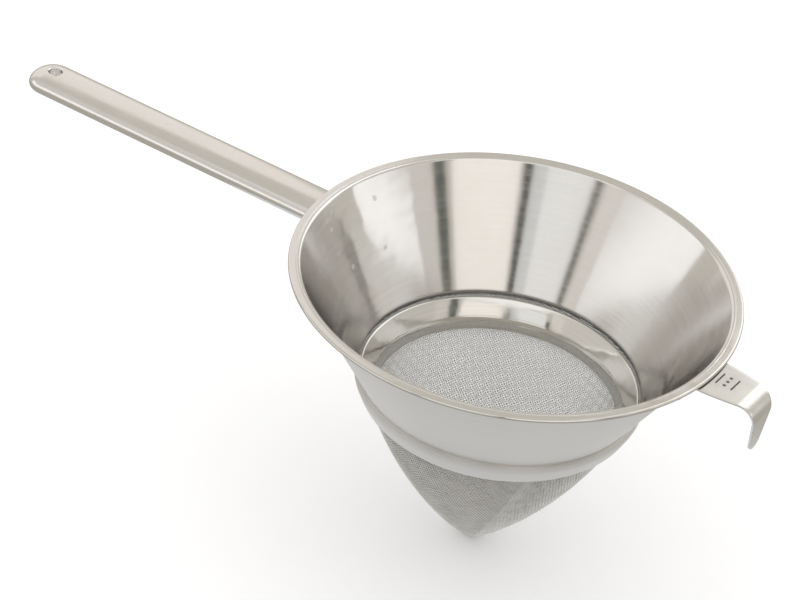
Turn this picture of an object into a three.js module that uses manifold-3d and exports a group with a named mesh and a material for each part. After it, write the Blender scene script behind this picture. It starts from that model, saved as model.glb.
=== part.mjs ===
// A hand strainer with a double sieve: a spun steel funnel bowl, two nested woven cones
// clamped under it by a ring, a hollow oval handle and a hook to rest it across a pot.
// Millimetres, +Z up. The bowl's axis is Z and z = 0 is half-way up the edge of its rim.
// The hook points along +X and the handle along -X.

import * as THREE from 'three';
import { mergeVertices } from 'three/addons/utils/BufferGeometryUtils.js';
import Module from 'manifold-3d';

const wasm = await Module();
wasm.setup();

// ---- driving dimensions ----------------------------------------------------------------
const SHEET = 0.75;           // bowl and clamp ring sheet
const STRAP = 1.2;            // hook and handle plate sheet
const GAP = 0.3;              // left between pieces that touch
const TURN_STEPS = 72;        // facets round the bowl's axis

const RIM_R = 109.4;          // outside of the flat rim
const RIM_TOP_Z = 0.75;
const RIM_UNDER_Z = -0.5;
const WALL_TOP_R = 103.8;     // bowl wall's inner face, carried up to the rim's top
const WALL_FOOT_R = 68.6;     // and where it turns out into the collar
const WALL_FOOT_Z = -58.5;

const COLLAR_TOP_R = 71.2;    // outside of the collar just under the wall
const COLLAR_TOP_Z = -58.2;
const COLLAR_BULGE_R = 72.1;  // where it would be widest if left sharp
const COLLAR_BULGE_Z = -60.8;
const COLLAR_FOOT_R = 68.1;
const COLLAR_FOOT_Z = -69.6;
const COLLAR_LIP = 1.9;       // how far the collar's foot turns in
const FOLD_RISE = 0.8;        // outside fold between wall and collar, above the inside one

const SIEVE_T = 0.35;         // one woven layer
const SIEVE_GAP = 0.22;       // between the two layers
const SIEVE_TOP_R = 70.7;     // outer layer's outside, at its cut edge
const SIEVE_TOP_Z = -60.2;
const SIEVE_NECK_R = 65.4;    // where it leaves the collar
const SIEVE_NECK_Z = -69.4;
const SIEVE_TIP_Z = -160.3;
const SIEVE_NOSE_R = 9.5;     // where the cone rounds over into its tip
const SIEVE_NOSE_Z = -154.5;
const SIEVE_BULGE = 10.4;     // twice the rise of the cone's side over a straight line

const RING_TOP_Z = -60.5;
const RING_FOOT_Z = -74.5;
const RING_BEND_R = 60.9;     // inner face's bend from the sloping band to the skirt
const RING_BEND_Z = -69.4;
const RING_FOOT_R = 59.7;
const RING_FLARE = 0.8;       // how much wider the sloping band gets per millimetre up
const RING_LIP = 0.95;        // width of the ring's top lip

const HANDLE_W = 25.6;        // oval tube, wide
const HANDLE_H = 12.9;        // and high
const HANDLE_T = 1.1;         // tube wall
const HANDLE_END_X = 300.4;   // distance from the bowl's axis to the closed end
const HANDLE_NOSE = 11;       // length of the rounded end
const NOSE_FULLNESS = 0.8;    // 1 is a half ellipse from above, less is squarer
const HANDLE_Z = -14.0;       // centre line's height near the rim
const HANDLE_Z_AT = 113;      // and where that height is taken
const HANDLE_STEPS = 40;      // facets round its section
const HANDLE_DIP = 0.014;     // fall of the centre line per millimetre outward
const HOLE_R = 3.6;           // hanging hole
const HOLE_X = 287.6;
const HOLE_STEPS = 24;
const HOLE_LINER = 0.9;       // wall of the short liner round the hanging hole

const PLATE_HALF_W = 23;      // plate that carries the handle on the wall
const PLATE_TOP_Z = -3.6;
const PLATE_FOOT_Z = -34;
const PLATE_CORNER = 5;

const HOOK_TOP_Z = -1.2;      // upper face of the hook's flat
const HOOK_BEND_X = 127.3;    // where the flat starts to bend down
const HOOK_BEND_R = 9.2;      // outer radius of that bend
const HOOK_TIP_X = 135.5;
const HOOK_TIP_Z = -28.9;
const HOOK_BASE_W = 27.4;     // width under the rim
const HOOK_TIP_W = 10.6;      // width where the tip rounds off
const HOOK_FULLNESS = 1.3;    // 1 narrows evenly, more stays wide for longer
const HOOK_TAB = 12;          // length of the tab down the bowl's wall
const HOOK_KNEE_R = 3;        // bend between tab and flat

// ---- materials -------------------------------------------------------------------------
const steel = (color, roughness) =>
  new THREE.MeshStandardMaterial({ color, roughness, metalness: 1 });
const BOWL_STEEL = steel(0xc3c3bf, 0.32);
const RING_STEEL = steel(0xd4d4d0, 0.12);
const FINE_WIRE = steel(0xbdbdb9, 0.4);
const SUPPORT_WIRE = steel(0x9c9b95, 0.45);
const HANDLE_STEEL = steel(0xcbc9c2, 0.35);
const HOOK_STEEL = steel(0xcfcdc8, 0.3);

// ---- helpers ---------------------------------------------------------------------------

// The bowl wall's inner radius at a height.
const WALL_SLOPE = (WALL_TOP_R - WALL_FOOT_R) / (RIM_TOP_Z - WALL_FOOT_Z);
const WALL_COS = 1 / Math.hypot(1, WALL_SLOPE);
const wallRadius = (z, outward = 0) =>
  WALL_FOOT_R + WALL_SLOPE * (z - WALL_FOOT_Z) + outward / WALL_COS;

// A closed outline through corners [x, y, cut], each corner rounded over its cut length.
function roundedOutline(corners, steps = 2) {
  const points = [];
  corners.forEach(([x, y, cut], i) => {
    const here = new THREE.Vector2(x, y);
    const before = new THREE.Vector2(...corners.at(i - 1).slice(0, 2));
    const after = new THREE.Vector2(...corners[(i + 1) % corners.length].slice(0, 2));
    if (!cut) {
      points.push(here);
      return;
    }
    const start = here.clone().add(before.sub(here).setLength(cut));
    const end = here.clone().add(after.sub(here).setLength(cut));
    points.push(...new THREE.QuadraticBezierCurve(start, here, end).getPoints(steps));
  });
  return points;
}

// Each point moved sideways from its line by a distance; to the right going along the line.
function offsetLine(points, distance) {
  return points.map((point, i) => {
    const before = points[Math.max(i - 1, 0)];
    const after = points[Math.min(i + 1, points.length - 1)];
    const along = after.clone().sub(before).normalize();
    return new THREE.Vector2(point.x + along.y * distance, point.y - along.x * distance);
  });
}

// A profile of [radius, z] points turned about Z. It runs with its solid on the left.
function turned(profile, closed) {
  const points = profile.map((p) => new THREE.Vector2(Math.max(p.x, 0), p.y));
  if (closed) points.push(points[0].clone());
  return new THREE.LatheGeometry(points, TURN_STEPS).rotateX(Math.PI / 2);
}

// A closed geometry as a manifold solid.
function solid(geometry) {
  const bare = geometry.clone();
  bare.deleteAttribute('normal');
  bare.deleteAttribute('uv');
  const merged = mergeVertices(bare, 1e-4);
  const corners = merged.index.array;
  const whole = [];
  for (let i = 0; i < corners.length; i += 3) {
    const [a, b, c] = corners.slice(i, i + 3);
    if (a !== b && b !== c && c !== a) whole.push(a, b, c);
  }
  return new wasm.Manifold(new wasm.Mesh({
    numProp: 3,
    vertProperties: new Float32Array(merged.attributes.position.array),
    triVerts: new Uint32Array(whole),
  }));
}

// A manifold solid as a geometry.
function geometryOf(body) {
  const mesh = body.getMesh();
  const geometry = new THREE.BufferGeometry();
  geometry.setAttribute('position', new THREE.BufferAttribute(mesh.vertProperties, 3));
  geometry.setIndex(new THREE.BufferAttribute(mesh.triVerts, 1));
  geometry.computeVertexNormals();
  return geometry;
}

function named(name, geometry, material) {
  const mesh = new THREE.Mesh(geometry, material);
  mesh.name = name;
  return mesh;
}

// ---- bowl ------------------------------------------------------------------------------

// One spun sheet: flat rim, funnel wall, then a step out into a collar that holds the sieves.
function bowlShell() {
  const foldZ = WALL_FOOT_Z + FOLD_RISE;
  const collar = [
    new THREE.Vector2(wallRadius(foldZ, SHEET), foldZ),
    new THREE.Vector2(COLLAR_TOP_R, COLLAR_TOP_Z),
    new THREE.Vector2(COLLAR_BULGE_R, COLLAR_BULGE_Z),
    new THREE.Vector2(COLLAR_FOOT_R, COLLAR_FOOT_Z),
  ];
  const inside = offsetLine(collar, SHEET);
  const lipEnd = COLLAR_FOOT_R - COLLAR_LIP;
  const wallOutR = wallRadius(RIM_UNDER_Z, SHEET);
  return turned(roundedOutline([
    [lipEnd, COLLAR_FOOT_Z, 0],
    [COLLAR_FOOT_R, COLLAR_FOOT_Z, 1.5],
    [COLLAR_BULGE_R, COLLAR_BULGE_Z, 1.8],
    [COLLAR_TOP_R, COLLAR_TOP_Z, 0.5],
    [collar[0].x, collar[0].y, 0.3],
    [wallOutR, RIM_UNDER_Z, 1.2],
    [RIM_R, RIM_UNDER_Z, 0.2],
    [RIM_R, RIM_TOP_Z, 1.0],
    [WALL_TOP_R, RIM_TOP_Z, 1.4],
    [WALL_FOOT_R, WALL_FOOT_Z, 1.8],
    [inside[1].x, inside[1].y, 0.4],
    [inside[2].x, inside[2].y, 1.8],
    [inside[3].x, COLLAR_FOOT_Z + SHEET, 0.8],
    [lipEnd, COLLAR_FOOT_Z + SHEET, 0],
  ]), true);
}

// ---- clamp ring and sieves -------------------------------------------------------------

// Pressed ring inside the collar: rounded top lip, sloping polished band, upright skirt.
function clampRing() {
  const bandTopR = RING_BEND_R + RING_FLARE * (RING_TOP_Z - RING_BEND_Z);
  return turned(roundedOutline([
    [RING_FOOT_R, RING_FOOT_Z, 0.3],
    [RING_FOOT_R + SHEET, RING_FOOT_Z, 0.3],
    [RING_BEND_R + SHEET, RING_BEND_Z - SHEET / 2, 0.8],
    [bandTopR + SHEET, RING_TOP_Z - SHEET, 0],
    [bandTopR + RING_LIP, RING_TOP_Z, 0.4],
    [bandTopR, RING_TOP_Z, 0.5],
    [RING_BEND_R, RING_BEND_Z, 1.8],
  ]), true);
}

// The outer face of the outer sieve, from its tip up to its cut edge.
function sieveLine() {
  const side = new THREE.Vector2(SIEVE_NECK_R - SIEVE_NOSE_R, SIEVE_NECK_Z - SIEVE_NOSE_Z);
  const across = new THREE.Vector2(side.y, -side.x).setLength(SIEVE_BULGE);
  const bulge = new THREE.Vector2(SIEVE_NOSE_R, SIEVE_NOSE_Z).addScaledVector(side, 0.5).add(across);
  const lean = (bulge.x - SIEVE_NOSE_R) / (bulge.y - SIEVE_NOSE_Z);
  const tipR = SIEVE_NOSE_R - lean * (SIEVE_NOSE_Z - SIEVE_TIP_Z);
  const nose = new THREE.QuadraticBezierCurve(
    new THREE.Vector2(0, SIEVE_TIP_Z), new THREE.Vector2(tipR, SIEVE_TIP_Z),
    new THREE.Vector2(SIEVE_NOSE_R, SIEVE_NOSE_Z));
  const cone = new THREE.QuadraticBezierCurve(
    new THREE.Vector2(SIEVE_NOSE_R, SIEVE_NOSE_Z), bulge,
    new THREE.Vector2(SIEVE_NECK_R, SIEVE_NECK_Z));
  const cutEdge = new THREE.Vector2(SIEVE_TOP_R, SIEVE_TOP_Z);
  return [...nose.getPoints(4), ...cone.getPoints(6).slice(1), cutEdge];
}

// One woven layer as a thin closed cone, set in from the outer face by a depth.
function sieve(depth) {
  const outside = offsetLine(sieveLine(), -depth);
  const inside = offsetLine(sieveLine(), -depth - SIEVE_T);
  outside[0].x = 0;
  inside[0].x = 0;
  outside.at(-1).y = SIEVE_TOP_Z;
  inside.at(-1).y = SIEVE_TOP_Z;
  return turned([...outside, ...inside.reverse()], false);
}

// ---- handle ----------------------------------------------------------------------------

// A round-nosed rod along -X with an oval section, from the bowl's axis out to its end.
function ovalRod(width, height, end, nose) {
  const profile = [new THREE.Vector2(0, 0), new THREE.Vector2(width / 2, 0)];
  for (const turn of [0, 20, 38, 54, 68, 80, 90]) {
    const a = THREE.MathUtils.degToRad(turn);
    profile.push(new THREE.Vector2(
      width / 2 * Math.cos(a) ** NOSE_FULLNESS, end - nose + nose * Math.sin(a)));
  }
  profile.at(-1).x = 0;
  return new THREE.LatheGeometry(profile, HANDLE_STEPS).rotateZ(Math.PI / 2).scale(1, 1, height / width);
}

// The solid funnel that the handle and plate are cut against, at a distance off the wall.
// It reaches well over the rim.
function wallCutter(outward) {
  const top = -WALL_FOOT_Z;
  return turned([
    new THREE.Vector2(0, COLLAR_FOOT_Z),
    new THREE.Vector2(wallRadius(COLLAR_FOOT_Z, outward), COLLAR_FOOT_Z),
    new THREE.Vector2(wallRadius(top, outward), top),
    new THREE.Vector2(0, top),
  ], false);
}

// An upright round bar across the handle, at a distance from the bowl's axis.
function upright(radius, x, height) {
  const pin = new THREE.CylinderGeometry(radius, radius, height, HOLE_STEPS);
  return pin.rotateX(Math.PI / 2).translate(-x, 0, HANDLE_Z);
}

// A rod along the bowl's X axis moved down onto the handle's sloping centre line.
function onHandleLine(geometry) {
  const slope = Math.atan(HANDLE_DIP);
  return geometry.rotateY(-slope).translate(0, 0, HANDLE_Z + HANDLE_DIP * HANDLE_Z_AT);
}

// Hollow oval tube: closed rounded end with a lined hanging hole, open end fitted to the plate.
function handleTube() {
  const outside = solid(onHandleLine(ovalRod(HANDLE_W, HANDLE_H, HANDLE_END_X, HANDLE_NOSE)));
  const hollow = solid(onHandleLine(ovalRod(
    HANDLE_W - 2 * HANDLE_T, HANDLE_H - 2 * HANDLE_T,
    HANDLE_END_X - HANDLE_T, HANDLE_NOSE - HANDLE_T)));
  const liner = solid(upright(HOLE_R + HOLE_LINER, HOLE_X, HANDLE_H * 2));
  const hole = solid(upright(HOLE_R, HOLE_X, HANDLE_H * 3));
  const wall = solid(wallCutter(SHEET + GAP + STRAP + GAP));
  return geometryOf(outside.subtract(hollow.subtract(liner)).subtract(hole).subtract(wall));
}

// Curved plate spot welded to the wall's outside, with the tube welded to it.
function handlePlate() {
  const skin = solid(wallCutter(SHEET + GAP + STRAP)).subtract(solid(wallCutter(SHEET + GAP)));
  const outline = roundedOutline([
    [-PLATE_HALF_W, PLATE_FOOT_Z, PLATE_CORNER],
    [PLATE_HALF_W, PLATE_FOOT_Z, PLATE_CORNER],
    [PLATE_HALF_W, PLATE_TOP_Z, 0],
    [-PLATE_HALF_W, PLATE_TOP_Z, 0],
  ], 4);
  const shape = new THREE.Shape(outline);
  const block = new THREE.ExtrudeGeometry(shape, { depth: RIM_R, bevelEnabled: false });
  block.rotateX(Math.PI / 2).rotateZ(-Math.PI / 2);
  return geometryOf(skin.intersect(solid(block)));
}

// ---- hook ------------------------------------------------------------------------------

// The hook strap's outer face seen from the side, as [x, z] points from tab to tip.
function hookLine() {
  const offWall = SHEET + GAP + STRAP;
  const kneeX = wallRadius(HOOK_TOP_Z, offWall);
  const down = new THREE.Vector2(-WALL_SLOPE, -1).normalize();
  const knee = new THREE.Vector2(kneeX, HOOK_TOP_Z);
  const kneeIn = knee.clone().addScaledVector(down, HOOK_KNEE_R);
  const kneeOut = new THREE.Vector2(kneeX + HOOK_KNEE_R, HOOK_TOP_Z);
  const points = [knee.clone().addScaledVector(down, HOOK_TAB)];
  points.push(...new THREE.QuadraticBezierCurve(kneeIn, knee, kneeOut).getPoints(4));
  for (let turn = 90; turn >= 0; turn -= 15) {
    const a = THREE.MathUtils.degToRad(turn);
    points.push(new THREE.Vector2(
      HOOK_BEND_X + HOOK_BEND_R * Math.cos(a), HOOK_TOP_Z - HOOK_BEND_R + HOOK_BEND_R * Math.sin(a)));
  }
  points.push(new THREE.Vector2(HOOK_TIP_X, HOOK_TIP_Z));
  return points;
}

// Half the strap's width after a length of strap, measured back from its tip.
function hookHalfWidth(toTip, run) {
  const tipR = HOOK_TIP_W / 2;
  if (toTip < tipR) return Math.sqrt(Math.max(tipR ** 2 - (tipR - toTip) ** 2, 0));
  const share = Math.min((toTip - tipR) / (run - tipR), 1);
  return THREE.MathUtils.lerp(HOOK_BASE_W / 2, tipR, (1 - share) ** HOOK_FULLNESS);
}

// The strap laid out flat as an outline, then bent along the side line.
function hookStrap() {
  const line = hookLine();
  const under = offsetLine(line, STRAP);
  const side = new THREE.Shape([...line, ...under.reverse()]);
  const strap = new THREE.ExtrudeGeometry(side, { depth: HOOK_BASE_W, bevelEnabled: false });
  strap.translate(0, 0, -HOOK_BASE_W / 2).rotateX(Math.PI / 2);
  const flatEnd = HOOK_BEND_X + HOOK_BEND_R / 2;
  const run = flatEnd - RIM_R + HOOK_BEND_R * Math.PI / 4 - HOOK_TIP_Z - HOOK_BEND_R;
  const plan = solid(prismAbove(run));
  const front = solid(prismBefore(run));
  return geometryOf(solid(strap).intersect(plan.add(front)));
}

// Upright prism over the tab and flat: straight, then narrowing towards the bend.
function prismAbove(run) {
  const base = HOOK_BASE_W / 2;
  const bend = hookHalfWidth(run - (HOOK_BEND_X + HOOK_BEND_R / 2 - RIM_R), run);
  const end = HOOK_BEND_X + HOOK_BEND_R * Math.SQRT1_2;
  const start = WALL_FOOT_R;
  const outline = [
    [start, -base], [RIM_R, -base], [end, -bend], [end, bend], [RIM_R, base], [start, base]];
  const shape = new THREE.Shape(outline.map(([x, y]) => new THREE.Vector2(x, y)));
  const prism = new THREE.ExtrudeGeometry(shape, { depth: 2 * HOOK_TAB, bevelEnabled: false });
  return prism.translate(0, 0, -HOOK_TAB);
}

// Level prism over the turned-down end: narrowing to the rounded tip.
function prismBefore(run) {
  const right = [];
  for (const toTip of [0, 0.3, 1.2, 2.9, HOOK_TIP_W / 2, 11, 18, -HOOK_TIP_Z]) {
    right.push(new THREE.Vector2(hookHalfWidth(toTip, run), HOOK_TIP_Z + toTip));
  }
  const left = right.slice(1).reverse().map((p) => new THREE.Vector2(-p.x, p.y));
  const shape = new THREE.Shape([...right, ...left]);
  const prism = new THREE.ExtrudeGeometry(shape, { depth: HOOK_BASE_W, bevelEnabled: false });
  return prism.rotateX(Math.PI / 2).rotateZ(Math.PI / 2).translate(HOOK_BEND_X, 0, 0);
}

// ---- assembly --------------------------------------------------------------------------
const strainer = new THREE.Group();
strainer.name = 'double_sieve_strainer';
strainer.add(named('bowl_shell', bowlShell(), BOWL_STEEL));
strainer.add(named('clamp_ring', clampRing(), RING_STEEL));
strainer.add(named('sieve_support', sieve(0), SUPPORT_WIRE));
strainer.add(named('sieve_fine', sieve(SIEVE_T + SIEVE_GAP), FINE_WIRE));
strainer.add(named('handle_tube', handleTube(), HANDLE_STEEL));
strainer.add(named('handle_plate', handlePlate(), HANDLE_STEEL));
strainer.add(named('hook_strap', hookStrap(), HOOK_STEEL));

export default strainer;
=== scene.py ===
"""Looks for the double sieve strainer: spun bowl, woven cones, polished clamp ring,
oval handle and rest hook, in a pale studio. Lengths in the tables below are millimetres
unless a name says otherwise; the row frame is in metres."""

import math

import bmesh
import bpy
import numpy as np
from mathutils import Matrix, Vector


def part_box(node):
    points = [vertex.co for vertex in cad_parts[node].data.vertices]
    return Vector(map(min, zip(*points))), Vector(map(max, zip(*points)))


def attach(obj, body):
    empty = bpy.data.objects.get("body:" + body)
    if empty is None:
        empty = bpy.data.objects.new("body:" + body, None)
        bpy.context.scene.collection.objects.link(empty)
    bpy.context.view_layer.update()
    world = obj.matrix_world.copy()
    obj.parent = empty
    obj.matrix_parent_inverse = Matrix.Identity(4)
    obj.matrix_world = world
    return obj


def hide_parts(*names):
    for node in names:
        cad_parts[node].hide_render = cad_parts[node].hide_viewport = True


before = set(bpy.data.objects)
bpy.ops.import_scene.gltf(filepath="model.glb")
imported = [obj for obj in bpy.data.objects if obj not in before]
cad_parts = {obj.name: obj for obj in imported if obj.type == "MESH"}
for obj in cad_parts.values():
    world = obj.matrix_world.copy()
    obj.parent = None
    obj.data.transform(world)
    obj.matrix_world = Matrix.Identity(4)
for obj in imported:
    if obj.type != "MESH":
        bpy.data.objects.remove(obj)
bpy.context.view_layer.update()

MM = 0.001
SCENE = bpy.context.scene

# ---- dimensions: the CAD's, and fine detail that only the looks have ----------------------
SHEET = 0.75
STRAP = 1.2
GAP = 0.3
RIM_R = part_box("bowl_shell")[1].x / MM
RIM_TOP_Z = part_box("bowl_shell")[1].z / MM
RIM_THICK = 1.25
RIM_UNDER_Z = RIM_TOP_Z - RIM_THICK
RIM_GROOVE_OUT = 1.75
RIM_GROOVE_HALF_W = 0.25
RIM_GROOVE_DEPTH = 0.22
WALL_TOP_R = 103.8
WALL_FOOT_R = 68.6
WALL_FOOT_Z = -58.5
FOLD_RISE = 0.8
COLLAR_TOP = (71.2, -58.2)
COLLAR_BULGE = (72.1, -60.8)
COLLAR_FOOT = (68.1, -69.6)
COLLAR_LIP = 1.9
SIEVE_TOP = (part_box("sieve_support")[1].x / MM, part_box("sieve_support")[1].z / MM)
SIEVE_NECK = (65.4, -69.4)
SIEVE_NOSE = (9.5, -154.5)
SIEVE_TIP_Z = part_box("sieve_support")[0].z / MM
SIEVE_BULGE = 10.4
RING_TOP_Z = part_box("clamp_ring")[1].z / MM
RING_FOOT_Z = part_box("clamp_ring")[0].z / MM
RING_BEND = (60.9, -69.4)
RING_FOOT_R = 59.7
RING_FLARE = 0.8
RING_LIP = 0.95
RING_CROWN = (-0.22, 0.28)
HANDLE_W = 25.6
HANDLE_H = 12.9
HANDLE_END = -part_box("handle_tube")[0].x / MM
HANDLE_NOSE = 11.0
HANDLE_NOSE_FULLNESS = 0.8
HANDLE_ROOT_X = 100.0
HANDLE_Z = -14.0
HANDLE_Z_AT = 113.0
HANDLE_DIP = 0.014
HOLE_R = 3.6
HOLE_X = 287.6
HOLE_EDGE_R = 0.55
PLATE_HALF_W = 23.0
PLATE_TOP_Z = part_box("handle_plate")[1].z / MM
PLATE_FOOT_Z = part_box("handle_plate")[0].z / MM
PLATE_CORNER = 5.0
HOOK_TOP_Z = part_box("hook_strap")[1].z / MM
HOOK_BEND_X = 127.3
HOOK_BEND_R = 9.2
HOOK_TIP = (135.5, -28.9)
HOOK_BASE_W = 27.4
HOOK_TIP_W = 10.6
HOOK_FULLNESS = 1.3
HOOK_TAB = 12.0
HOOK_KNEE_R = 3.0
BEAD_R = 1.25

WALL_SLOPE = (WALL_TOP_R - WALL_FOOT_R) / (RIM_TOP_Z - WALL_FOOT_Z)
WALL_COS = 1 / math.hypot(1, WALL_SLOPE)


def wall_radius(z, outward=0.0):
    """Radius of the funnel's inner face at a height, or of a face so far outside it."""
    return WALL_FOOT_R + WALL_SLOPE * (z - WALL_FOOT_Z) + outward / WALL_COS


# ---- line helpers ------------------------------------------------------------------------


def bezier(a, b, c, steps):
    t = np.linspace(0, 1, steps + 1)[:, None]
    a, b, c = (np.asarray(p, float) for p in (a, b, c))
    return (1 - t) ** 2 * a + 2 * t * (1 - t) * b + t * t * c


def rounded(corners, steps=8):
    """A closed outline through corners (x, y, cut), each rounded over its cut length."""
    points = []
    for i, (x, y, cut) in enumerate(corners):
        here = np.array((x, y))
        before = np.array(corners[i - 1][:2]) - here
        after = np.array(corners[(i + 1) % len(corners)][:2]) - here
        if cut:
            start = here + before / np.linalg.norm(before) * cut
            end = here + after / np.linalg.norm(after) * cut
            points.extend(bezier(start, here, end, steps))
        else:
            points.append(here)
    return np.array(points)


def densify(points, closed, longest=2.5, hold=0.2):
    """Extra points on long runs, with one close to each end so that shading stays true there."""
    out = []
    n = len(points)
    for i in range(n if closed else n - 1):
        a, b = points[i], points[(i + 1) % n]
        out.append(a)
        length = np.linalg.norm(b - a)
        if length > 4 * hold:
            steps = max(int(length / longest), 1)
            inner = [hold / length, *[k / steps for k in range(1, steps)], 1 - hold / length]
            out.extend(a + (b - a) * t for t in inner)
    if not closed:
        out.append(points[-1])
    return np.array(out)


def normals_2d(points):
    """Unit vectors to the left of the line at each point."""
    along = np.gradient(points, axis=0)
    along /= np.linalg.norm(along, axis=1)[:, None]
    return np.stack([-along[:, 1], along[:, 0]], axis=1)


def lengths(points):
    return np.concatenate([[0], np.cumsum(np.linalg.norm(np.diff(points, axis=0), axis=1))])


# ---- mesh helpers ------------------------------------------------------------------------


def piece(name, verts, faces, material, node=None, sharp_deg=None, outward=True):
    """A smooth-shaded mesh from millimetre points, riding on the root body."""
    mesh = bpy.data.meshes.new(name)
    mesh.from_pydata((np.asarray(verts) * MM).tolist(), [], faces)
    if outward:
        bm = bmesh.new()
        bm.from_mesh(mesh)
        bmesh.ops.recalc_face_normals(bm, faces=bm.faces)
        bm.to_mesh(mesh)
        bm.free()
    mesh.shade_smooth()
    if sharp_deg:
        mesh.set_sharp_from_angle(angle=math.radians(sharp_deg))
    obj = bpy.data.objects.new(name, mesh)
    SCENE.collection.objects.link(obj)
    mesh.materials.append(material)
    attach(obj, "root")
    if node:
        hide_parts(node)
    return obj


def ring_faces(rows, columns, wrap_rows=False, wrap_columns=True):
    """Quads of a grid whose vertex (i, j) is i * columns + j."""
    i = np.arange(rows if wrap_rows else rows - 1)
    j = np.arange(columns if wrap_columns else columns - 1)
    i, j = (a.ravel() for a in np.meshgrid(i, j, indexing="ij"))
    i2, j2 = (i + 1) % rows, (j + 1) % columns
    return np.stack([i * columns + j, i * columns + j2, i2 * columns + j2, i2 * columns + j], 1)


def capped_faces(rows, columns):
    """Quads of a tube of rings, and a face on each end."""
    faces = ring_faces(rows, columns).tolist()
    faces.append(list(range(columns))[::-1])
    faces.append([(rows - 1) * columns + j for j in range(columns)])
    return faces


def turned(name, outline, material, node, steps=360):
    """A closed [radius, z] outline turned about Z."""
    turn = np.linspace(0, 2 * math.pi, steps, endpoint=False)
    r, z = outline[:, 0][:, None], outline[:, 1][:, None]
    verts = np.stack([r * np.cos(turn), r * np.sin(turn), z + 0 * turn], axis=2).reshape(-1, 3)
    faces = ring_faces(len(outline), steps, wrap_rows=True)
    return piece(name, verts, faces.tolist(), material, node)


def lofted(name, rings, material, node, sharp_deg=None):
    """Equal closed rings joined into a skin, with its two ends filled."""
    rings = np.asarray(rings)
    faces = capped_faces(*rings.shape[:2])
    return piece(name, rings.reshape(-1, 3), faces, material, node, sharp_deg)


def strap_section(half_width, thick, corner=0.3, across=12, steps=4):
    """A strap's cross-section as (sideways, outward) points round it."""
    corner = min(corner, half_width * 0.9)
    points = []
    for side, up, start in ((1, 1, 0), (-1, 1, 90), (-1, -1, 180), (1, -1, 270)):
        for k in range(steps + 1):
            a = math.radians(start + 90 * k / steps)
            points.append(
                (
                    side * (half_width - corner) + corner * math.cos(a),
                    up * (thick / 2 - corner) + corner * math.sin(a),
                )
            )
        if up == side:
            edge = half_width - corner
            row = np.linspace(edge, -edge, across + 2)[1:-1] * side
            points.extend((y, up * thick / 2) for y in row)
    return np.array(points)


# ---- material helpers --------------------------------------------------------------------

# The share of a soft spot's radius that is at full strength.
SPOT_CORE = 0.35


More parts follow.
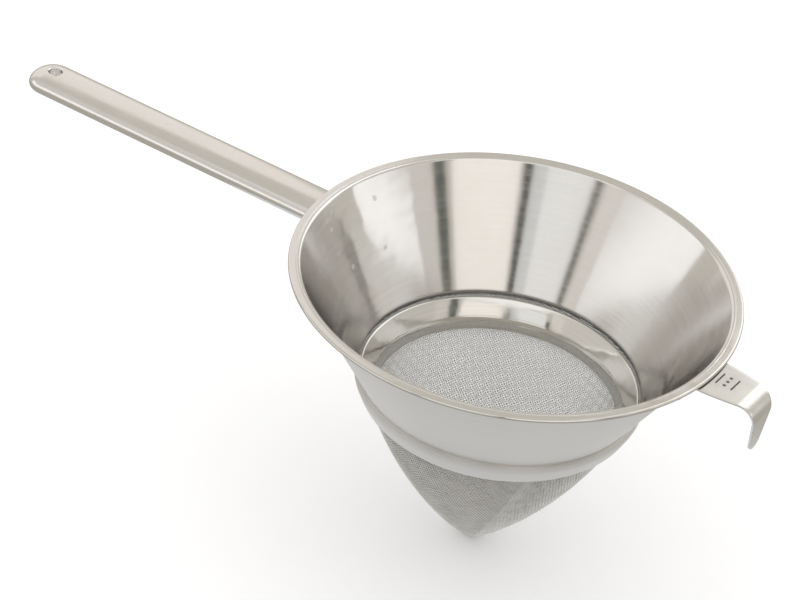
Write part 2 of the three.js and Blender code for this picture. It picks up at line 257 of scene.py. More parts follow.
class Look:
    """A metal built from nodes round one Principled shader."""

    def __init__(self, name, color, roughness, anisotropy=0.0):
        self.material = bpy.data.materials.new(name)
        self.material.use_nodes = True
        self.nodes = self.material.node_tree.nodes
        self.links = self.material.node_tree.links
        self.nodes.clear()
        output = self.nodes.new("ShaderNodeOutputMaterial")
        self.shader = self.nodes.new("ShaderNodeBsdfPrincipled")
        self.links.new(self.shader.outputs[0], output.inputs[0])
        self.set(self.shader, "Base Color", (*color, 1))
        self.set(self.shader, "Metallic", 1.0)
        self.set(self.shader, "Roughness", roughness)
        self.set(self.shader, "Anisotropic", anisotropy)
        self.place = self.nodes.new("ShaderNodeTexCoord").outputs["Object"]

    def set(self, node, key, value):
        if isinstance(value, bpy.types.NodeSocket):
            self.links.new(value, node.inputs[key])
        else:
            node.inputs[key].default_value = value

    def math(self, operation, *values):
        node = self.nodes.new("ShaderNodeMath")
        node.operation = operation
        for i, value in enumerate(values):
            self.set(node, i, value)
        return node.outputs[0]

    def plus(self, first, second):
        return self.math("ADD", first, second)

    def times(self, first, second):
        return self.math("MULTIPLY", first, second)

    def vector_math(self, operation, *vectors):
        node = self.nodes.new("ShaderNodeVectorMath")
        node.operation = operation
        for i, vector in enumerate(vectors):
            self.set(node, i, vector)
        return node.outputs

    def parts(self, vector):
        node = self.nodes.new("ShaderNodeSeparateXYZ")
        self.set(node, 0, vector)
        return node.outputs

    def join(self, x, y, z):
        node = self.nodes.new("ShaderNodeCombineXYZ")
        for i, value in enumerate((x, y, z)):
            self.set(node, i, value)
        return node.outputs[0]

    def flat_length(self, x, y):
        return self.vector_math("LENGTH", self.join(x, y, 0.0))["Value"]

    def noise(self, vector, scale=1.0, detail=3.0, rough=0.55):
        node = self.nodes.new("ShaderNodeTexNoise")
        self.set(node, "Vector", vector)
        self.set(node, "Scale", scale)
        self.set(node, "Detail", detail)
        self.set(node, "Roughness", rough)
        return node.outputs[0]

    def remap(self, value, low, high, to_low, to_high):
        node = self.nodes.new("ShaderNodeMapRange")
        node.interpolation_type = "SMOOTHSTEP"
        for key, v in (
            ("Value", value),
            ("From Min", low),
            ("From Max", high),
            ("To Min", to_low),
            ("To Max", to_high),
        ):
            self.set(node, key, v)
        return node.outputs[0]

    def mix(self, share, first, second):
        node = self.nodes.new("ShaderNodeMix")
        node.data_type = "RGBA"
        self.set(node, "Factor", share)
        for key, color in (("A", first), ("B", second)):
            socket = [s for s in node.inputs if s.name == key and s.type == "RGBA"][0]
            if isinstance(color, bpy.types.NodeSocket):
                self.links.new(color, socket)
            else:
                socket.default_value = (*color, 1)
        return [s for s in node.outputs if s.type == "RGBA"][0]

    def bump(self, height, depth, strength=1.0, under=None):
        node = self.nodes.new("ShaderNodeBump")
        self.set(node, "Height", height)
        self.set(node, "Distance", depth)
        self.set(node, "Strength", strength)
        if under is not None:
            self.set(node, "Normal", under)
        self.set(self.shader, "Normal", node.outputs[0])
        return node.outputs[0]

    def streaks(self, along, across, axis_z):
        """Object coordinates squeezed so that noise runs in lines: round Z, or along X."""
        x, y, z = self.parts(self.place)
        if axis_z:
            rise = self.plus(self.flat_length(x, y), z)
            return self.join(self.times(x, along), self.times(y, along), self.times(rise, across))
        return self.join(self.times(x, along), self.times(y, across), self.times(z, across))

    def spots(self, centres, radius):
        """1 at each centre (metres), falling to 0 at the radius."""
        total = None
        for centre in centres:
            gap = self.vector_math("DISTANCE", self.place, centre)["Value"]
            one = self.remap(gap, radius * SPOT_CORE, radius, 1.0, 0.0)
            total = one if total is None else self.math("MAXIMUM", total, one)
        return total

    def lathe_brushed(self):
        """Stretches highlights across a grain that runs round Z."""
        node = self.nodes.new("ShaderNodeTangent")
        node.direction_type = "RADIAL"
        node.axis = "Z"
        self.set(self.shader, "Tangent", node.outputs[0])
        self.set(self.shader, "Anisotropic Rotation", 0.25)

    def blend(self, first, second, share):
        """Two patterns added, the first by its share."""
        return self.plus(self.times(first, share), self.times(second, 1 - share))

    def steel(self, pattern, low, high, dark, light):
        """A colour that wanders between two steels as the pattern goes from low to high."""
        return self.mix(self.remap(pattern, low, high, 0.0, 1.0), dark, light)


# ---- materials ---------------------------------------------------------------------------

# Spot welds that hold the handle's plate show on the wall's inside as (y, z) dimples.
WELDS = [(-11.8, -4.6), (-16.5, -10.5), (-17.5, -20.9), (-10.3, -30.2), (19.6, -8.9), (15.1, -30.4)]


# The weld dimples' radius, and the buckled and stained patches as centre and radius, in metres.
WELD_R = 0.0017
BUCKLED = ([(-0.095, 0.004, -0.016), (0.09, 0.004, -0.026)], 0.06)
STAINED = ([(0.085, -0.01, -0.03)], 0.075)


def weld_centres():
    """The dimples' places on the wall's inner face, in metres."""
    centres = []
    for y, z in WELDS:
        r = wall_radius(z)
        centres.append((-math.sqrt(r * r - y * y) * MM, y * MM, z * MM))
    return centres


def bowl_look():
    look = Look("bowl_steel", (0.68, 0.67, 0.65), 0.2, 0.85)
    look.lathe_brushed()
    fine = look.noise(look.streaks(22, 2400, True), detail=4, rough=0.6)
    broad = look.noise(look.streaks(9, 300, True), detail=3)
    cloud = look.noise(look.place, scale=22, detail=3)
    brushed = look.blend(fine, broad, 0.5)
    dots = look.spots(weld_centres(), WELD_R)

    x, y, z = look.parts(look.place)
    radius = look.flat_length(x, y)
    off_wall = look.math(
        "SUBTRACT", radius, look.math("MULTIPLY_ADD", z, WALL_SLOPE, wall_radius(0) * MM)
    )
    outside = look.times(
        look.remap(off_wall, 0.35 * MM, 0.7 * MM, 0.0, 1.0),
        look.remap(z, -1.6 * MM, -0.6 * MM, 1.0, 0.0),
    )
    inside = look.math("SUBTRACT", 1.0, outside)
    # The rim's outer edge and underside: rougher for the cut edge's real dullness, and darkened in
    # colour as painted shade for the shadow line under the rim.
    dull_edge_and_shade = look.times(
        look.remap(radius, (RIM_R - 0.35) * MM, (RIM_R - 0.1) * MM, 0.0, 1.0),
        look.remap(z, 0.0, 0.25 * MM, 1.0, 0.0),
    )
    # Painted shade in the fold at the foot of the wall's inside, where the gap to the ring lies in
    # shadow.
    fold_shade = look.times(
        look.remap(z, (WALL_FOOT_Z + 0.6) * MM, (WALL_FOOT_Z + 2.4) * MM, 1.0, 0.0),
        look.remap(off_wall, 0.35 * MM, 0.7 * MM, 1.0, 0.0),
    )

    rough = look.remap(brushed, 0.3, 0.7, 0.13, 0.18)
    rough = look.plus(rough, look.times(dots, 0.1))
    rough = look.plus(rough, look.times(outside, 0.3))
    look.set(look.shader, "Roughness", look.plus(rough, look.times(dull_edge_and_shade, 0.15)))

    stain = look.remap(look.noise(look.place, scale=38, detail=5, rough=0.6), 0.42, 0.66, 0.0, 0.62)
    stain = look.times(stain, look.remap(look.spots(*STAINED), 0.0, 0.8, 0.12, 1.0))
    shade = look.steel(brushed, 0.35, 0.65, (0.662, 0.652, 0.632), (0.69, 0.682, 0.665))
    shade = look.mix(look.times(dots, 0.22), shade, (0.42, 0.4, 0.37))
    shade = look.mix(look.times(stain, inside), shade, (0.5, 0.475, 0.42))
    # Painted shade under the rim's outer edge.
    shade = look.mix(dull_edge_and_shade, shade, (0.5, 0.485, 0.455))
    # Painted shade in the fold at the wall's foot.
    shade = look.mix(look.times(fold_shade, 0.75), shade, (0.3, 0.28, 0.26))
    look.set(look.shader, "Base Color", shade)

    buckle = look.times(look.noise(look.place, scale=75, detail=1), look.spots(*BUCKLED))
    buckle = look.times(look.times(buckle, inside), 2.3)
    wave = look.bump(look.plus(cloud, buckle), 0.00012)
    dimple = look.bump(dots, 0.00007, under=wave)
    look.bump(fine, 0.000003, 0.5, under=dimple)
    return look.material


def ring_look():
    look = Look("ring_polished", (0.72, 0.71, 0.69), 0.06)
    fine = look.noise(look.streaks(14, 1500, True), detail=4)
    smear = look.noise(look.place, scale=60, detail=4, rough=0.65)
    skirt = look.remap(look.parts(look.place)[2], -73.8 * MM, -71.8 * MM, 1.0, 0.0)
    rough = look.remap(smear, 0.35, 0.75, 0.07, 0.17)
    look.set(look.shader, "Roughness", look.plus(rough, look.times(skirt, 0.12)))
    shade = look.steel(fine, 0.35, 0.65, (0.63, 0.625, 0.59), (0.67, 0.66, 0.635))
    look.set(look.shader, "Base Color", look.mix(skirt, shade, (0.6, 0.585, 0.53)))
    wave = look.bump(look.noise(look.place, scale=48, detail=2), 0.00026)
    look.bump(fine, 0.000003, 0.4, under=wave)
    return look.material


def wire_look(name, light, dark, shaded, metallic, inward):
    """Woven wire: its tone wanders in patches, with painted shade on the side of each wire that
    faces the other layer.
    """
    look = Look(name, light, 0.34)
    look.set(look.shader, "Metallic", metallic)
    x, y, _ = look.parts(look.place)
    spread = look.vector_math("NORMALIZE", look.join(x, y, 0.0))["Vector"]
    normal = look.nodes.new("ShaderNodeTexCoord").outputs["Normal"]
    side = look.vector_math("DOT_PRODUCT", normal, spread)["Value"]
    if inward:
        side = look.times(side, -1.0)
    # Painted shade: towards the shaded colour on the side of the wire that faces the other layer.
    facing_shade = look.remap(side, -0.45, 0.15, 1.0, 0.0)
    patch = look.noise(look.place, scale=130, detail=4, rough=0.7)
    grain = look.noise(look.place, scale=2600, detail=2)
    shade = look.steel(patch, 0.35, 0.7, light, dark)
    look.set(look.shader, "Base Color", look.mix(facing_shade, shade, shaded))
    look.set(look.shader, "Roughness", look.remap(grain, 0.3, 0.7, 0.26, 0.42))
    look.bump(grain, 0.00001, 0.5)
    return look.material


def handle_look():
    look = Look("handle_polished", (0.69, 0.68, 0.66), 0.17)
    fine = look.noise(look.streaks(60, 2600, False), detail=3)
    smear = look.noise(look.place, scale=40, detail=4, rough=0.6)
    grit = look.noise(look.place, scale=1400, detail=3, rough=0.7)
    rough = look.remap(look.blend(fine, smear, 0.35), 0.35, 0.68, 0.15, 0.26)
    look.set(look.shader, "Roughness", rough)
    x, y, _ = look.parts(look.place)
    from_hole = look.flat_length(look.plus(x, HOLE_X * MM), y)
    # Painted light: the bore's wall is made near white, standing for the light seen through the
    # hole.
    bore_light = look.remap(from_hole, (HOLE_R + 0.1) * MM, (HOLE_R + 0.3) * MM, 1.0, 0.0)
    shade = look.steel(grit, 0.4, 0.75, (0.7, 0.69, 0.67), (0.64, 0.63, 0.6))
    look.set(look.shader, "Base Color", look.mix(bore_light, shade, (0.99, 0.985, 0.975)))
    wave = look.bump(look.noise(look.place, scale=28, detail=2), 0.0001)
    look.bump(fine, 0.000006, 0.5, under=wave)
    return look.material


def plate_look():
    look = Look("plate_rolled", (0.58, 0.572, 0.555), 0.3)
    fine = look.noise(look.streaks(60, 1900, True), detail=3)
    smear = look.noise(look.place, scale=55, detail=4, rough=0.6)
    rolled = look.blend(fine, smear, 0.5)
    look.set(look.shader, "Roughness", look.remap(rolled, 0.35, 0.65, 0.24, 0.38))
    shade = look.steel(rolled, 0.35, 0.65, (0.53, 0.52, 0.5), (0.6, 0.592, 0.575))
    look.set(look.shader, "Base Color", shade)
    look.bump(fine, 0.000008, 0.5)
    return look.material


def bead_look():
    look = Look("weld_bead", (0.5, 0.48, 0.45), 0.36)
    tint = look.noise(look.place, scale=260, detail=3)
    shade = look.steel(tint, 0.35, 0.65, (0.54, 0.52, 0.49), (0.4, 0.36, 0.31))
    look.set(look.shader, "Base Color", shade)
    look.set(look.shader, "Roughness", look.remap(tint, 0.3, 0.7, 0.28, 0.45))
    look.bump(look.noise(look.place, scale=900, detail=3), 0.00008, 0.6)
    return look.material


# Plain bars and dots that stand in for the maker's etching on the hook's flat: bars as
# (x, y, half length in x, half in y), dots as (x, y) with a radius in metres, and the depths
# under the flat's top between which the etching fades in.
ETCHED_BARS = [(111.8, 1.0, 0.45, 4.6), (119.8, 1.0, 0.45, 4.6)]
ETCHED_DOTS = [(115.8, -2.4), (115.8, 1.0), (115.8, 4.4)]
ETCHED_DOT_R = 0.0013
ETCHED_FROM, ETCHED_TO = 0.8, 0.4


def etching(look):
    """1 on the etched bars and dots, on the flat's top only."""
    x, y, z = look.parts(look.place)
    mark = look.spots([(a * MM, b * MM, HOOK_TOP_Z * MM) for a, b in ETCHED_DOTS], ETCHED_DOT_R)
    for bar_x, bar_y, half_x, half_y in ETCHED_BARS:
        off_x = look.math("ABSOLUTE", look.math("SUBTRACT", x, bar_x * MM))
        off_y = look.math("ABSOLUTE", look.math("SUBTRACT", y, bar_y * MM))
        in_x = look.remap(off_x, half_x * 0.7 * MM, half_x * 1.3 * MM, 1.0, 0.0)
        in_y = look.remap(off_y, (half_y - 0.2) * MM, (half_y + 0.2) * MM, 1.0, 0.0)
        mark = look.math("MAXIMUM", mark, look.times(in_x, in_y))
    on_top = look.remap(
        z, (HOOK_TOP_Z - ETCHED_FROM) * MM, (HOOK_TOP_Z - ETCHED_TO) * MM, 0.0, 1.0
    )
    return look.times(mark, on_top)


def hook_look():
    look = Look("hook_rolled", (0.69, 0.68, 0.66), 0.22)
    fine = look.noise(look.streaks(50, 2300, False), detail=3)
    smear = look.noise(look.place, scale=55, detail=4, rough=0.6)
    rolled = look.blend(fine, smear, 0.5)
    mark = etching(look)
    rough = look.remap(rolled, 0.35, 0.65, 0.19, 0.27)
    look.set(look.shader, "Roughness", look.plus(rough, look.times(mark, 0.25)))
    shade = look.steel(rolled, 0.35, 0.65, (0.66, 0.65, 0.625), (0.7, 0.69, 0.67))
    look.set(look.shader, "Base Color", look.mix(mark, shade, (0.12, 0.11, 0.1)))
    wave = look.bump(look.noise(look.place, scale=40, detail=2), 0.00007)
    look.bump(fine, 0.000008, 0.5, under=wave)
    return look.material


# ---- bowl and ring -----------------------------------------------------------------------


def bowl():
    lip_end = COLLAR_FOOT[0] - COLLAR_LIP
    fold_z = WALL_FOOT_Z + FOLD_RISE
    fold = (wall_radius(fold_z, SHEET), fold_z)
    collar = np.array((fold, COLLAR_TOP, COLLAR_BULGE, COLLAR_FOOT))
    inside = collar - normals_2d(collar) * SHEET
    outline = rounded(
        [
            (lip_end, COLLAR_FOOT[1], 0.2),
            (COLLAR_FOOT[0], COLLAR_FOOT[1], 1.5),
            (*COLLAR_BULGE, 2.4),
            (*COLLAR_TOP, 0.6),
            (*fold, 0.25),
            (wall_radius(RIM_UNDER_Z, SHEET), RIM_UNDER_Z, 1.2),
            (RIM_R, RIM_UNDER_Z, 0.12),
            (RIM_R, RIM_TOP_Z, 1.1),
            (WALL_TOP_R + RIM_GROOVE_OUT + RIM_GROOVE_HALF_W, RIM_TOP_Z, 0.12),
            (WALL_TOP_R + RIM_GROOVE_OUT, RIM_TOP_Z - RIM_GROOVE_DEPTH, 0.1),
            (WALL_TOP_R + RIM_GROOVE_OUT - RIM_GROOVE_HALF_W, RIM_TOP_Z, 0.12),
            (WALL_TOP_R, RIM_TOP_Z, 1.2),
            (WALL_FOOT_R, WALL_FOOT_Z, 1.8),
            (*inside[1], 0.4),
            (*inside[2], 1.8),
            (inside[3][0], COLLAR_FOOT[1] + SHEET, 0.8),
            (lip_end, COLLAR_FOOT[1] + SHEET, 0.2),
        ]
    )
    return turned("bowl_spun", densify(outline, True), bowl_look(), "bowl_shell")


def clamp_ring():
    top_r = RING_BEND[0] + RING_FLARE * (RING_TOP_Z - RING_BEND[1])
    crown = (
        (top_r + RING_BEND[0]) / 2 + RING_CROWN[0],
        (RING_TOP_Z + RING_BEND[1]) / 2 + RING_CROWN[1],
    )
    outline = rounded(
        [
            (RING_FOOT_R, RING_FOOT_Z, 0.3),
            (RING_FOOT_R + SHEET, RING_FOOT_Z, 0.3),
            (RING_BEND[0] + SHEET, RING_BEND[1] - SHEET / 2, 0.8),
            (top_r + SHEET, RING_TOP_Z - SHEET, 0),
            (top_r + RING_LIP, RING_TOP_Z, 0.4),
            (top_r, RING_TOP_Z, 0.6),
            (*crown, 4.2),
            (*RING_BEND, 2.2),
        ]
    )
    outline = densify(outline, True, longest=1.2, hold=0.12)
    return turned("ring_pressed", outline, ring_look(), "clamp_ring")


# ---- woven sieves ------------------------------------------------------------------------


# The cloth's turned-in tip lies a little blunter than the plain rounding of the cone.
NOSE_BLUNTING = 1.5


def sieve_profile():
    """Outer face of the outer sieve from tip to cut edge."""
    neck, nose = np.array(SIEVE_NECK), np.array(SIEVE_NOSE)
    side = neck - nose
    across = np.array((side[1], -side[0]))
    bulge = nose + side / 2 + across / np.linalg.norm(across) * SIEVE_BULGE
    lean = (bulge[0] - nose[0]) / (bulge[1] - nose[1])
    tip_r = nose[0] - lean * (nose[1] - SIEVE_TIP_Z)
    round_nose = bezier((0, SIEVE_TIP_Z), (tip_r * NOSE_BLUNTING, SIEVE_TIP_Z), nose, 16)
    cone = bezier(nose, bulge, neck, 60)[1:]
    flange = np.linspace(neck, SIEVE_TOP, 9)[1:]
    return np.vstack([round_nose, cone, flange])


# The hand-rolled cones don't hang quite true: their tip's sideways offset, as (x, y).
TIP_LEAN = (-1.15, -0.67)
# How much slower the flat sector turns than the cone rolled from it.
ROLL = 0.571
# The cloth's lap seam: its azimuth at the neck, and how far it leans by the tip, then the
# lap's width, the run over which it beds down, and the cloth's run past the neck.
SEAM_DEG = -45.0
SEAM_LEAN_DEG = -15.0
LAP_W = 5.0
LAP_BED = 4.0
NECK_RUN = 11.0
# The eye left where the cloth comes together, and the share of a wire's thickness that it
# rises and falls by.
TIP_EYE = 0.4
CRIMP = 0.92


def on_cone(line, lap_lift):
    """A function that rolls flat sector points, lifted off the sheet, onto the leaning cone."""
    s = lengths(line)
    out = -normals_2d(line)
    longest = s[-1]

    def place(u, v, lift):
        rho = np.hypot(u, v)
        theta = np.arctan2(v, u)
        radius = np.interp(rho, s, line[:, 0])
        seam = np.radians(SEAM_DEG + SEAM_LEAN_DEG * (1 - rho / (longest - NECK_RUN)))
        phi = theta / ROLL + math.radians(180 + SEAM_DEG + SEAM_LEAN_DEG / 2)
        past = (phi - seam) * radius
        lift = lift + lap_lift * np.clip(1 - (past - LAP_W) / LAP_BED, 0, 1)
        r = radius + np.interp(rho, s, out[:, 0]) * lift
        z = np.interp(rho, s, line[:, 1]) + np.interp(rho, s, out[:, 1]) * lift
        around = (past > 0) & (past < 2 * math.pi * radius + LAP_W)
        inside = (rho < longest) & around & (rho > TIP_EYE)
        hang = np.clip((SIEVE_NECK[1] - z) / (SIEVE_NECK[1] - SIEVE_TIP_Z), 0, 1)
        x = r * np.cos(phi) + TIP_LEAN[0] * hang
        y = r * np.sin(phi) + TIP_LEAN[1] * hang
        return np.stack([x, y, z], axis=-1), inside

    return place


def wire_tube(points, up, wire, sides):
    """Vertices of a wire along points, in rings whose first corner is on the up side."""
    along = np.gradient(points, axis=0)
    across = np.cross(along, up)
    across /= np.linalg.norm(across, axis=1)[:, None]
    angles = 2 * math.pi * np.arange(sides) / sides + math.pi / 2
    ring = (
        points[:, None, :]
        + np.cos(angles)[None, :, None] * across[:, None, :] * wire / 2
        + np.sin(angles)[None, :, None] * up[:, None, :] * wire / 2
    )
    return ring.reshape(-1, 3)


def weave(name, node, material, depth, pitch, wire, sides, turn_deg, lap_lift):
    """Square-woven cloth cut as a flat sector and rolled into the cone, as warp and weft."""
    line = sieve_profile()
    line = line + normals_2d(line) * depth
    line[0, 0] = 0
    place = on_cone(line, lap_lift)
    turn = math.radians(turn_deg)
    cos, sin = math.cos(turn), math.sin(turn)
    reach = int(lengths(line)[-1] / pitch) + 2
    j = np.arange(-reach, reach + 1)
    along = (j + 0.5) * pitch
    for kind in ("warp", "weft"):
        verts, faces, base = [], [], 0
        for i in range(-reach, reach + 1):
            fixed = np.full_like(along, i * pitch)
            a, b = (fixed, along) if kind == "warp" else (along, fixed)
            u, v = a * cos - b * sin, a * sin + b * cos
            over = np.where((i + j + (kind == "weft")) % 2 == 0, 0.5, -0.5) * wire * CRIMP
            points, inside = place(u, v, over)
            up = place(u, v, 1)[0] - place(u, v, 0)[0]
            edges = np.flatnonzero(np.diff(np.concatenate([[0], inside.astype(int), [0]])))
            for start, stop in zip(edges[::2], edges[1::2]):
                if stop - start < 2:
                    continue
                verts.append(wire_tube(points[start:stop], up[start:stop], wire, sides))
                faces.append(ring_faces(stop - start, sides) + base)
                base += (stop - start) * sides
        verts, faces = np.vstack(verts), np.vstack(faces).tolist()
        piece(f"{name}_{kind}", verts, faces, material, node, outward=False)


# Painted shade: the wires' colour on the side that faces the other layer.
PAINTED_LAYER_SHADE = (0.06, 0.057, 0.05)


def sieves():
    weave(
        "support",
        "sieve_support",
        wire_look("support_wire", (0.72, 0.705, 0.67), (0.6, 0.585, 0.55), PAINTED_LAYER_SHADE, 0.7, False),
        depth=0.2,
        pitch=1.08,
        wire=0.32,
        sides=4,
        turn_deg=27,
        lap_lift=0.16,
    )
    # Painted light: the fine wire is near white and mostly non-metallic, far lighter than the
    # support wire's steel, so the cloth inside the bowl reads as brightly lit.
    weave(
        "fine",
        "sieve_fine",
        wire_look("fine_wire", (1.0, 0.99, 0.97), (0.95, 0.94, 0.92), PAINTED_LAYER_SHADE, 0.15, True),
        depth=0.95,
        pitch=0.93,
        wire=0.39,
        sides=3,
        turn_deg=65,
        lap_lift=-0.25,
    )


# ---- handle ------------------------------------------------------------------------------


def handle_line_z(x):
    return HANDLE_Z + HANDLE_DIP * (HANDLE_Z_AT - x)


def handle():
    turn = np.linspace(0, 2 * math.pi, 96, endpoint=False)
    y, z = np.cos(turn) * HANDLE_W / 2, np.sin(turn) * HANDLE_H / 2
    against = SHEET + GAP + STRAP + GAP
    start_z = z + handle_line_z(HANDLE_ROOT_X)
    start = np.sqrt(wall_radius(start_z, against) ** 2 - y**2)
    straight = HANDLE_END - HANDLE_NOSE
    rings = []
    for share in np.linspace(0, 1, 90):
        x = start + (straight - start) * share
        rings.append(np.stack([-x, y, z + handle_line_z(x)], axis=1))
    for deg in (*range(4, 88, 4), 87.0, 88.5, 89.5):
        a = math.radians(deg)
        x = straight + HANDLE_NOSE * math.sin(a)
        size = math.cos(a) ** HANDLE_NOSE_FULLNESS
        rings.append(np.stack([0 * y - x, y * size, z * size + handle_line_z(x)], axis=1))
    bore(lofted("handle_oval", rings, handle_look(), "handle_tube"))


def bore(tube):
    """Cuts the hanging hole, with softly turned-in edges, through the handle's end."""
    edge, flare, clear = HOLE_EDGE_R, 0.4, 3
    half = HANDLE_H / 2 * math.sqrt(1 - (HOLE_R / (HANDLE_W / 2)) ** 2)
    a = np.radians(np.linspace(0, 90, 7))
    curve = np.stack([HOLE_R + edge * (1 - np.cos(a)), half - edge + edge * np.sin(a)], axis=1)
    side = np.vstack([curve, [HOLE_R + edge + flare, half + clear]])
    side = np.vstack([side[::-1] * (1, -1), side])
    steps = 64
    turn = np.linspace(0, 2 * math.pi, steps, endpoint=False)
    rings = [
        np.stack([r * np.cos(turn), r * np.sin(turn), 0 * turn + h], axis=1) for r, h in side
    ]
    faces = capped_faces(len(side), steps)
    mesh = bpy.data.meshes.new("bore_cutter")
    verts = np.concatenate(rings) + (-HOLE_X, 0, handle_line_z(HOLE_X))
    mesh.from_pydata((verts * MM).tolist(), [], faces)
    cutter = bpy.data.objects.new("bore_cutter", mesh)
    SCENE.collection.objects.link(cutter)
    cut = tube.modifiers.new("bore", "BOOLEAN")
    cut.operation = "DIFFERENCE"
    cut.solver = "EXACT"
    cut.object = cutter
    bpy.context.view_layer.update()
    graph = bpy.context.evaluated_depsgraph_get()
    done = bpy.data.meshes.new_from_object(tube.evaluated_get(graph))
    tube.modifiers.clear()
    tube.data = done
    done.shade_smooth()
    bpy.data.objects.remove(cutter)


def handle_pad():
    """The plate on the bowl's outside that carries the handle."""
    middle = SHEET + GAP + STRAP / 2
    rows = []
    corner = PLATE_CORNER * (1 - np.cos(np.radians(np.linspace(0, 90, 12))))
    straight = np.linspace(PLATE_FOOT_Z + PLATE_CORNER, PLATE_TOP_Z, 16)[1:]
    for z in np.concatenate([PLATE_FOOT_Z + corner, straight]):
        drop = max(PLATE_CORNER - (z - PLATE_FOOT_Z), 0)
        half = PLATE_HALF_W - PLATE_CORNER + math.sqrt(max(PLATE_CORNER**2 - drop**2, 0))
        section = strap_section(half, STRAP, across=24)
        r = wall_radius(z, middle) + section[:, 1] * WALL_COS
        angle = section[:, 0] / wall_radius(z, middle)
        tilted = z - section[:, 1] * WALL_SLOPE * WALL_COS
        rows.append(np.stack([-r * np.cos(angle), r * np.sin(angle), tilted], axis=1))
    lofted("handle_pad", rows, plate_look(), "handle_plate", sharp_deg=50)


def handle_bead():
    """The weld that runs round the tube where it meets the plate."""
    rng = np.random.default_rng(7)
    steps, sides = 160, 10
    off_tube, off_plate = 0.2, 0.35
    ripples, ripple_share, rough_share = 38, 0.1, 0.05
    turn = np.linspace(0, 2 * math.pi, steps, endpoint=False)
    y, z = np.cos(turn) * (HANDLE_W / 2 + off_tube), np.sin(turn) * (HANDLE_H / 2 + off_tube)
    z = z + handle_line_z(HANDLE_ROOT_X)
    x = -np.sqrt(wall_radius(z, SHEET + GAP + STRAP + off_plate) ** 2 - y**2)
    centre = np.stack([x, y, z], axis=1)
    along = np.roll(centre, -1, axis=0) - np.roll(centre, 1, axis=0)
    along /= np.linalg.norm(along, axis=1)[:, None]
    first = np.cross(along, (1.0, 0, 0))
    first /= np.linalg.norm(first, axis=1)[:, None]
    second = np.cross(along, first)
    unevenness = ripple_share * np.sin(turn * ripples) + rough_share * rng.standard_normal(steps)
    size = BEAD_R * (1 + unevenness)
    a = np.linspace(0, 2 * math.pi, sides, endpoint=False)
    verts = (
        centre[:, None, :]
        + (np.cos(a)[None, :] * size[:, None])[:, :, None] * first[:, None, :]
        + (np.sin(a)[None, :] * size[:, None])[:, :, None] * second[:, None, :]
    )
    faces = ring_faces(steps, sides, wrap_rows=True).tolist()
    return piece("handle_bead", verts.reshape(-1, 3), faces, bead_look())


# ---- hook --------------------------------------------------------------------------------


def hook_line():
    """The strap's outer face from the side, as [x, z] points from tab to tip."""
    off_wall = SHEET + GAP + STRAP
    knee = np.array((wall_radius(HOOK_TOP_Z, off_wall), HOOK_TOP_Z))
    down = np.array((-WALL_SLOPE, -1)) * WALL_COS
    points = [knee + down * HOOK_TAB]
    points.extend(bezier(knee + down * HOOK_KNEE_R, knee, knee + (HOOK_KNEE_R, 0), 12))
    centre = np.array((HOOK_BEND_X, HOOK_TOP_Z - HOOK_BEND_R))
    for deg in range(90, -1, -4):
        a = math.radians(deg)
        points.append(centre + HOOK_BEND_R * np.array((math.cos(a), math.sin(a))))
    points.append(np.array(HOOK_TIP))
    return densify(np.array(points), False, longest=2.0, hold=0.3)


def hook():
    line = hook_line()
    normal = normals_2d(line)
    s = lengths(line)
    total = s[-1]
    flat = line[:, 1] > HOOK_TOP_Z - 0.5
    rim_at = np.interp(RIM_R, line[flat, 0], s[flat])
    run = total - rim_at
    tip_r = HOOK_TIP_W / 2
    near_tip = total - tip_r * (1 - np.cos(np.radians(np.linspace(90, 4, 16))))
    spots = np.concatenate([s[s < total - tip_r - 0.3], near_tip])
    rings = []
    for at in spots:
        to_tip = total - at
        if to_tip < tip_r:
            half = math.sqrt(tip_r**2 - (tip_r - to_tip) ** 2)
        else:
            share = min((to_tip - tip_r) / (run - tip_r), 1)
            half = HOOK_BASE_W / 2 - (HOOK_BASE_W / 2 - tip_r) * (1 - share) ** HOOK_FULLNESS
        section = strap_section(half, STRAP)
        p = np.array([np.interp(at, s, line[:, k]) for k in (0, 1)])
        n = np.array([np.interp(at, s, normal[:, k]) for k in (0, 1)])
        n /= np.linalg.norm(n)
        middle = p - n * STRAP / 2
        x = middle[0] + n[0] * section[:, 1]
        z = middle[1] + n[1] * section[:, 1]
        rings.append(np.stack([x, section[:, 0], z], axis=1))
    lofted("hook_formed", rings, hook_look(), "hook_strap", sharp_deg=60)


# ---- studio ------------------------------------------------------------------------------

CAMERA_AZ, CAMERA_EL, CAMERA_ROLL = -59.84, 35.48, 7.99
CAMERA_BACK, CAMERA_SIDE, CAMERA_RISE = 1.2669, -0.05565, -0.01028
CAMERA_LENS, CAMERA_SENSOR = 119.67, 36.0

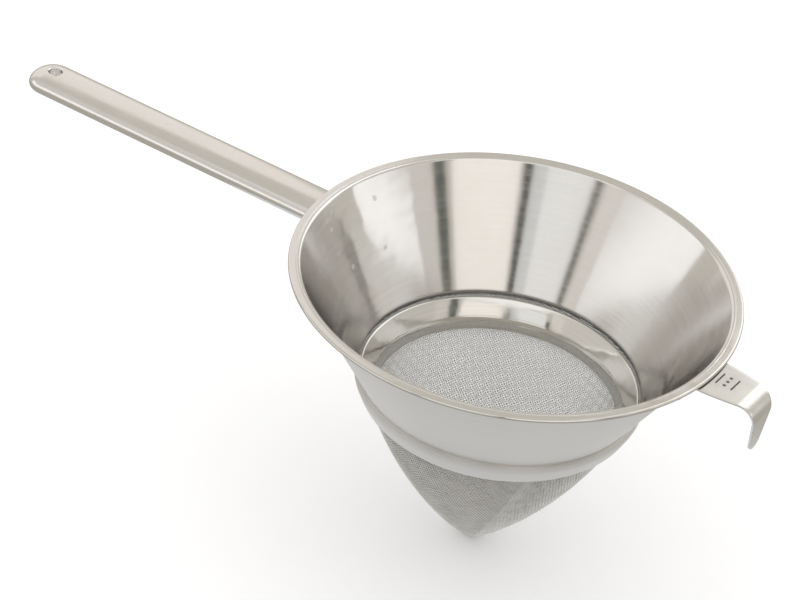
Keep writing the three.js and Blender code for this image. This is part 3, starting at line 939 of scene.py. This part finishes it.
# Light panels and dark flags, as patches of a dome round the object that only gloss sees:
# azimuth from and to, elevation from and to (degrees), light, and a warm to cool tint.
DOME_R = 1.6
WARM, CREAM, WHITE = (1, 0.95, 0.86), (1, 0.95, 0.9), (1, 0.99, 0.98)
GREEN, COOL = (0.93, 1, 0.9), (0.96, 0.975, 1)
PANEL_SETS = [
    (-168, -113, 6, 24, 1.38, WHITE),
    (-168, -113, 24, 45, 0.82, CREAM),
    (-113, -103, 14, 45, 0.95, CREAM),
    (-101, -97.5, 12, 38, 0.16, GREEN),
    (-96, -70, 17, 45, 1.12, WHITE),
    (-70, -61.5, 10, 45, 0.86, WHITE),
    (-61.5, -57, 10, 43, 0.06, GREEN),
    (-55, -16, 17, 45, 1.28, CREAM),
    (-12.5, -5.5, 10, 44, 0.13, GREEN),
    (-4, 8, 14, 45, 0.85, CREAM),
    (8, 42, 6, 20, 1.45, WHITE),
    (8, 42, 20, 45, 0.76, CREAM),
    (-125, 5, 46, 63, 1.3, WHITE),
    (58, 104, 14, 60, 1.62, WHITE),
    (123, 176, 4, 43, 1.08, CREAM),
    (-155, -125, 46, 60, 1.0, WHITE),
]
DOME_LIGHT, FAR_FLOOR_LIGHT, NEAR_FLOOR_LIGHT = 0.73, 0.54, 0.9
NEAR_FLOOR_R = 0.24
# Each panel lies a step inside the last so that none share a surface; the dome and the far
# floor reach past them, and the glossy floor patches lie just over the floor. In metres.
PANEL_STEP, DOME_MARGIN, FAR_FLOOR_MARGIN = 0.01, 0.3, 0.4
FLOOR_LIFT = 0.0005
FLOOR_HALF = 30.0
FLOOR_TONES = (0.93, 0.96)
SKY_LIGHT, SKY_TINT = 1.25, (1, 0.995, 0.985)


def glow(name, light, tint):
    material = bpy.data.materials.new(name)
    material.use_nodes = True
    nodes = material.node_tree.nodes
    nodes.clear()
    output = nodes.new("ShaderNodeOutputMaterial")
    shader = nodes.new("ShaderNodeEmission")
    shader.inputs["Color"].default_value = (*tint, 1)
    shader.inputs["Strength"].default_value = light
    material.node_tree.links.new(shader.outputs[0], output.inputs[0])
    material.cycles.emission_sampling = "NONE"
    return material


def circle(radius, z, steps):
    turn = np.linspace(0, 2 * math.pi, steps, endpoint=False)
    return [(radius * math.cos(a), radius * math.sin(a), z) for a in turn]


def dome_patch(name, span, radius, light, tint):
    """Part of a sphere that glows and shows only in reflections; its span is in degrees."""
    az_from, az_to, el_from, el_to = span
    across = max(int((az_to - az_from) / 4), 1) + 1
    up = max(int((el_to - el_from) / 6), 1) + 1
    verts = []
    for el in np.radians(np.linspace(el_from, el_to, up)):
        for az in np.radians(np.linspace(az_from, az_to, across)):
            flat = radius * math.cos(el)
            verts.append((flat * math.cos(az), flat * math.sin(az), radius * math.sin(el)))
    faces = ring_faces(up, across, wrap_columns=False).tolist()
    stage_mesh(name, verts, faces, glow(name, light, tint), True)


def stage_mesh(name, verts, faces, material, only_glossy):
    mesh = bpy.data.meshes.new(name)
    mesh.from_pydata([tuple(v) for v in verts], [], faces)
    mesh.materials.append(material)
    obj = bpy.data.objects.new(name, mesh)
    SCENE.collection.objects.link(obj)
    if only_glossy:
        obj.visible_camera = False
        obj.visible_diffuse = False
        obj.visible_shadow = False
        obj.visible_transmission = False


def floor_look():
    material = bpy.data.materials.new("studio_floor")
    material.use_nodes = True
    nodes, links = material.node_tree.nodes, material.node_tree.links
    shader = nodes["Principled BSDF"]
    noise = nodes.new("ShaderNodeTexNoise")
    noise.inputs["Scale"].default_value = 3.0
    ramp = nodes.new("ShaderNodeMapRange")
    ramp.inputs["To Min"].default_value = FLOOR_TONES[0]
    ramp.inputs["To Max"].default_value = FLOOR_TONES[1]
    tint = nodes.new("ShaderNodeCombineColor")
    links.new(noise.outputs[0], ramp.inputs["Value"])
    for i in range(3):
        links.new(ramp.outputs[0], tint.inputs[i])
    links.new(tint.outputs[0], shader.inputs["Base Color"])
    shader.inputs["Roughness"].default_value = 0.9
    shader.inputs["Specular IOR Level"].default_value = 0.0
    return material


def studio():
    world = bpy.data.worlds.new("studio")
    SCENE.world = world
    world.use_nodes = True
    sky = world.node_tree.nodes["Background"]
    sky.inputs["Color"].default_value = (*SKY_TINT, 1)
    sky.inputs["Strength"].default_value = SKY_LIGHT
    world.cycles_visibility.glossy = False
    floor_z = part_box("sieve_support")[0].z
    half = FLOOR_HALF
    square = ((-half, -half), (half, -half), (half, half), (-half, half))
    corners = [(x, y, floor_z) for x, y in square]
    stage_mesh("floor", corners, [(0, 1, 2, 3)], floor_look(), False)
    for k, (*span, light, tint) in enumerate(PANEL_SETS):
        dome_patch(f"panel_{k}", span, DOME_R - PANEL_STEP * k, light, tint)
    dome_patch("dome", (-180, 180, -8, 90), DOME_R + DOME_MARGIN, DOME_LIGHT, WARM)
    steps, above = 48, floor_z + FLOOR_LIFT
    inner = circle(NEAR_FLOOR_R, above, steps)
    outer = circle(DOME_R + FAR_FLOOR_MARGIN, above, steps)
    near = glow("near_floor", NEAR_FLOOR_LIGHT, COOL)
    stage_mesh("near_floor", inner, [tuple(range(steps))], near, True)
    far = glow("far_floor", FAR_FLOOR_LIGHT, WARM)
    stage_mesh("far_floor", inner + outer, ring_faces(2, steps).tolist(), far, True)


def camera():
    az, el, roll = (math.radians(v) for v in (CAMERA_AZ, CAMERA_EL, CAMERA_ROLL))
    back = Vector((math.cos(az) * math.cos(el), math.sin(az) * math.cos(el), math.sin(el)))
    level = Vector((-math.sin(az), math.cos(az), 0))
    up = back.cross(level)
    right = level * math.cos(roll) + up * math.sin(roll)
    rise = up * math.cos(roll) - level * math.sin(roll)
    spot = back * CAMERA_BACK + right * CAMERA_SIDE + rise * CAMERA_RISE
    data = bpy.data.cameras.new("camera")
    data.lens = CAMERA_LENS
    data.sensor_width = CAMERA_SENSOR
    data.clip_start, data.clip_end = 0.05, 100.0
    obj = bpy.data.objects.new("camera", data)
    SCENE.collection.objects.link(obj)
    turn = Matrix((right, rise, back)).transposed().to_4x4()
    obj.matrix_world = Matrix.Translation(spot) @ turn
    SCENE.camera = obj


camera()
studio()
SCENE.view_settings.view_transform = "Standard"
bowl()
clamp_ring()
sieves()
handle()
handle_pad()
handle_bead()
hook()

bpy.context.view_layer.update()
